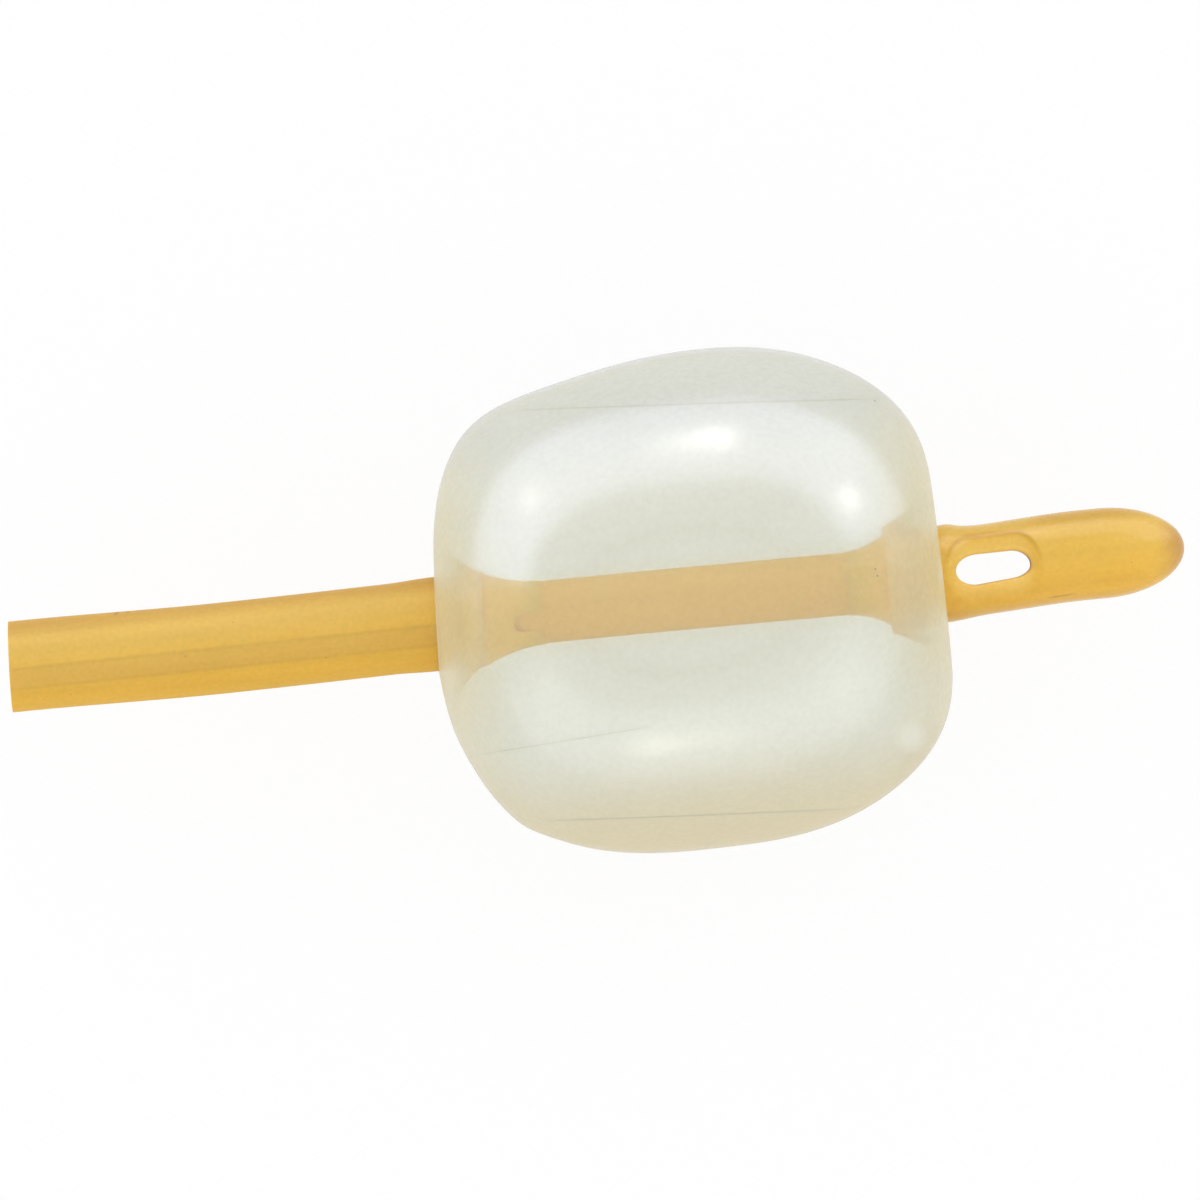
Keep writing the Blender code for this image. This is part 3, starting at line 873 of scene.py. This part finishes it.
def buildOvercoat(finish):
    along = stations(cutEnd, coatEnd, shaft["coatStep"])
    outline = [(x, coatRadius(x)) for x in reversed(along)] + [(x, seatRadius) for x in along]
    mesh = turnedMesh("shaftOvercoat", outline, shaft["turnSteps"])
    movePoints(mesh, tubeLine)
    piece = newPiece("shaftOvercoat", mesh)
    # the rod reaches past both ends, so that the channel is open there
    run = stations(cutEnd - shaftRadius, coatEnd + shaftRadius, channel["step"])
    rod = [(run[-1], 0.0)] + [(x, 1.0) for x in reversed(run)] + [(run[0], 0.0)]
    rodMesh = turnedMesh("channelRod", rod, channel["turnSteps"], closed=False)
    movePoints(rodMesh, inWall)
    cutAway(piece, newPiece("channelRod", rodMesh))
    standIn(piece, "amber_overcoat", "shaft_sleeve", finish)


def tipOutside(x):
    if x > noseStart:
        share = (x - noseStart) / tip["noseLength"]
        return tipRadius * math.sqrt(max(1 - share * share, 0.0))
    if x < shankFullStart:
        return runOut(frontRoot, (x - shankStart) / tip["shankTaper"])
    swell = 1 - smoothStep((x - frontFace) / tip["rootSwell"])
    return tipRadius + (frontRoot - tipRadius) * swell


def sunkAt(x, y, z):
    # the skin is sunk to each eye's lip, in an oval that reaches further across than along
    if not frontFace < x < noseStart:
        return 0.0
    roundEye = tipOutside(x) * math.atan2(abs(y), abs(z))
    pastEnd = max(abs(x - eyeX) - (tip["eyeLength"] - tip["eyeWidth"]) / 2, 0.0)
    beyond = math.hypot(pastEnd, roundEye) - tip["eyeWidth"] / 2
    lengthways = pastEnd / max(math.hypot(pastEnd, roundEye), 1e-6)
    reach = tip["dipAcross"] + (tip["dipAlong"] - tip["dipAcross"]) * lengthways
    share = min(max(beyond / reach, 0.0), 1.0)
    crisp = tip["dipEdge"] * (1 - lengthways)
    return tip["eyeDip"] * (1 - crisp * share * share - (1 - crisp) * smoothStep(share))


def onTip(x, y, z):
    radius = math.hypot(y, z)
    if radius > seatRadius + shaft["feather"]:
        raised = bump(tip["rootBump"], x - frontFace - tip["rootBumpAt"], tip["rootBumpSpread"])
        raised *= max(y / radius, 0.0)
        grown = 1 + (raised - sunkAt(x, y, z)) / radius
        y *= grown
        z *= grown
    return x, y + setOf(x), z


def eyeBar():
    # a bar with oval ends through both eyes, flared at its own ends to round the lip
    count = tip["eyeSteps"]
    half = tip["eyeWidth"] / 2
    rim = []
    for i in range(count):
        angle = 2 * math.pi * (i + 0.5) / count
        end = tip["eyeEnds"][1] if math.cos(angle) > 0 else tip["eyeEnds"][0]
        u = math.cos(angle) * end + math.copysign(tip["eyeLength"] / 2 - end, math.cos(angle))
        v = math.sin(angle) * half
        if v < 0:
            v *= 1 - tip["eyeTaper"] * smoothStep(u / tip["eyeLength"] + 0.5)
        outwards = Vector((math.cos(angle) / end, math.sin(angle) / half)).normalized()
        rim.append((u, v, outwards.x, outwards.y))
    steps = tip["lipSteps"]
    arc = [math.radians(tip["lipTurn"]) * i / steps for i in range(steps + 1)]
    rings = []
    for side in (1, -1):
        lip = []
        for turn in arc:
            out = tip["lipRound"] * (1 - math.cos(turn))
            ring = []
            for u, v, nx, ny in rim:
                radius = tipOutside(eyeX + u) - tip["eyeDip"]
                top = math.sqrt(radius * radius - v * v) - tip["lipRound"]
                ring.append((u + nx * out, v + ny * out, side * (top + tip["lipRound"] * math.sin(turn))))
            lip.append(ring)
        # out still holds the last turn's flare
        lip.append([(u + nx * out, v + ny * out, side * 2 * tipRadius) for u, v, nx, ny in rim])
        rings = lip[::-1] if side == 1 else rings + lip
    verts = [(x + eyeX, y + setOf(eyeX), z) for ring in rings for x, y, z in ring]
    faces = []
    for k in range(len(rings) - 1):
        for i in range(count):
            j = (i + 1) % count
            faces.append((k * count + i, (k + 1) * count + i, (k + 1) * count + j, k * count + j))
    faces.append(tuple(range(count)))
    last = (len(rings) - 1) * count
    faces.append(tuple(last + i for i in reversed(range(count))))
    mesh = bpy.data.meshes.new("eyeBar")
    mesh.from_pydata(verts, [], faces)
    return newPiece("eyeBar", mesh)


def buildTip(finish):
    count = tip["noseSteps"]
    nose = [noseStart + tip["noseLength"] * math.cos(i * math.pi / 2 / count) for i in range(count)]
    along = stations(shankStart, noseStart, tip["skinStep"])
    outline = [(x, tipOutside(x)) for x in nose + along[::-1]]
    outline[0] = (noseEnd, 0.0)
    outline += [(x, seatRadius) for x in stations(shankStart, socketEnd, tip["seatStep"])]
    outline += [(x, boreRadius) for x in stations(socketEnd, boreFullEnd, tip["boreStep"])]
    # the bore ends in a dome
    count = tip["boreEndSteps"]
    for i in range(1, count):
        angle = i * math.pi / 2 / count
        outline.append((boreFullEnd + boreRadius * math.sin(angle), boreRadius * math.cos(angle)))
    outline.append((boreFullEnd + boreRadius, 0.0))
    mesh = turnedMesh("mouldedTip", outline, tip["turnSteps"], closed=False)
    movePoints(mesh, onTip)
    piece = newPiece("mouldedTip", mesh)
    cutAway(piece, eyeBar())
    standIn(piece, "moulded_latex", "tip", finish)


skinFilm = inflatedLatexFilm("inflatedLatexFilm", True)
innerFilm = inflatedLatexFilm("innerLatexFilm", False)
buildBalloon(skinFilm, innerFilm)
print("balloon built")
buildTube(amberLatex("dippedLatexTube", tubeLook))
buildOvercoat(amberLatex("dippedLatexOvercoat", overcoatLook, overcoatPaint))
print("shaft built")
buildTip(amberLatex("mouldedLatexTip", tipLook, tipPaint))
print("tip built")


# table
table = {
    "size": 2.4,  # metres
    "gap": 0.00003,
    "colour": "#fdfdfd",
    "shown": 0.88,  # how far it shows as plain white
}


def buildTable():
    bpy.ops.mesh.primitive_plane_add(size=table["size"], location=(0, 0, -table["gap"]))
    item = bpy.context.active_object
    item.name = "paleTable"
    # smooth white laminate: it shows white from any side and keeps a soft shadow
    material = newMaterial("whiteLaminateTable")
    paths = addNode(material, "LightPath").outputs
    seen = {0: paths["Is Camera Ray"], 1: paths["Is Glossy Ray"]}
    seen = addNode(material, "Math", seen, operation="MAXIMUM")
    seen = addNode(material, "Math", {0: seen, 1: paths["Is Transmission Ray"]}, operation="MAXIMUM")
    share = addNode(material, "Math", {0: seen, 1: table["shown"]}, operation="MULTIPLY")
    plain = addNode(material, "BsdfDiffuse", {"Color": hexColour(table["colour"])})
    white = addNode(material, "Emission", {"Color": (1, 1, 1, 1), "Strength": 1.0})
    both = addNode(material, "MixShader", {0: share, 1: plain, 2: white})
    addNode(material, "OutputMaterial", {"Surface": both})
    item.data.materials.append(material)


# a curved white screen that stands behind the balloon and shows only in its gloss
screen = {
    "reach": 130,  # mm from the balloon's middle to the lamps
    "clothReach": 1.02,  # times that to the cloth
    "fromAngle": 18,
    "toAngle": 166,
    "steps": 36,
    "height": 150,
    "glow": 3.19,
    "tint": "#d0d8ff",
    "fadeFrom": 105,  # height over which it fades out
    "fadeTo": 124,
    # direction, height, size in mm and radiance of three lamps in front of it
    "brightSpots": ((131, 60, (20, 26), 0.9), (86, 54, (15, 22), 3.2), (35, 74, (22, 26), 1.3)),
}


def buildScreen():
    steps = screen["steps"]
    reach = screen["reach"] * screen["clothReach"]
    verts = []
    for i in range(steps + 1):
        angle = math.radians(screen["fromAngle"] + (screen["toAngle"] - screen["fromAngle"]) * i / steps)
        x, y = reach * math.cos(angle) * mm, reach * math.sin(angle) * mm
        verts += [(x, y, 0), (x, y, screen["height"] * mm)]
    faces = [(2 * i, 2 * i + 1, 2 * i + 3, 2 * i + 2) for i in range(steps)]
    mesh = bpy.data.meshes.new("curvedScreen")
    mesh.from_pydata(verts, [], faces)
    item = bpy.data.objects.new("curvedScreen", mesh)
    bpy.context.scene.collection.objects.link(item)
    # thin white cloth, lit from behind
    material = newMaterial("litClothScreen")
    place = addNode(material, "TexCoord").outputs["Object"]
    height = addNode(material, "SeparateXYZ", {0: place}).outputs[2]
    ends = fromTo(height, screen["fadeFrom"] * mm, screen["fadeTo"] * mm, screen["glow"], 0)
    fade = addNode(material, "MapRange", ends, **eased)
    glow = addNode(material, "Emission", {"Color": hexColour(screen["tint"]), "Strength": fade})
    clear = addNode(material, "BsdfTransparent", {"Color": (1, 1, 1, 1)})
    both = addNode(material, "AddShader", {0: glow, 1: clear})
    addNode(material, "OutputMaterial", {"Surface": both})
    mesh.materials.append(material)
    item.visible_camera = False
    item.visible_diffuse = False
    item.visible_shadow = False


def addLamp(name, place, aim, size, radiance):
    # a flat lamp that shows in gloss alone
    lamp = bpy.data.lights.new(name, "AREA")
    lamp.shape = "RECTANGLE"
    lamp.size, lamp.size_y = inMetres(size)
    lamp.energy = radiance * math.pi * math.pi * lamp.size * lamp.size_y  # the watts that give the radiance
    item = bpy.data.objects.new(name, lamp)
    item.location = Vector(place) * mm
    item.rotation_euler = (Vector(aim) * mm - item.location).to_track_quat("-Z", "Y").to_euler()
    item.visible_camera = False
    item.visible_diffuse = False
    bpy.context.scene.collection.objects.link(item)


def buildLight():
    world = bpy.data.worlds.new("whiteStudio")
    bpy.context.scene.world = world
    world.use_nodes = True
    world.node_tree.nodes.clear()
    sky = addNode(world, "Background", {"Color": (1, 1, 1, 1), "Strength": 1.0})
    addNode(world, "OutputWorld", {"Surface": sky})
    buildScreen()
    for direction, level, size, radiance in screen["brightSpots"]:
        turn = math.radians(direction)
        place = (screen["reach"] * math.cos(turn), screen["reach"] * math.sin(turn), level)
        addLamp("brightSpot", place, (0, 0, axisHeight), size, radiance)


# camera
photo = {
    "pixelSize": 0.0733,  # mm on the plane of the catheter's axis
    "width": 1200,
    "roll": 6,  # degrees that the catheter's line rises to the right
    "centre": (-7.05, 0.71),  # mm, under the middle of the picture
    "distance": 1.2,  # metres
    "sensor": 36,  # mm
    "clipEnd": 20,
}


def buildCamera():
    view = bpy.data.cameras.new("photoView")
    view.sensor_width = photo["sensor"]
    view.lens = view.sensor_width * photo["distance"] / (photo["width"] * photo["pixelSize"] * mm)
    view.clip_end = photo["clipEnd"]
    item = bpy.data.objects.new("photoView", view)
    x, y = photo["centre"]
    item.location = (x * mm, y * mm, axisHeight * mm + photo["distance"])
    item.rotation_euler = (0, 0, -math.radians(photo["roll"]))
    bpy.context.scene.collection.objects.link(item)
    bpy.context.scene.camera = item


buildTable()
buildLight()
buildCamera()
bpy.context.scene.view_settings.view_transform = "Standard"
print("table, light and camera set")
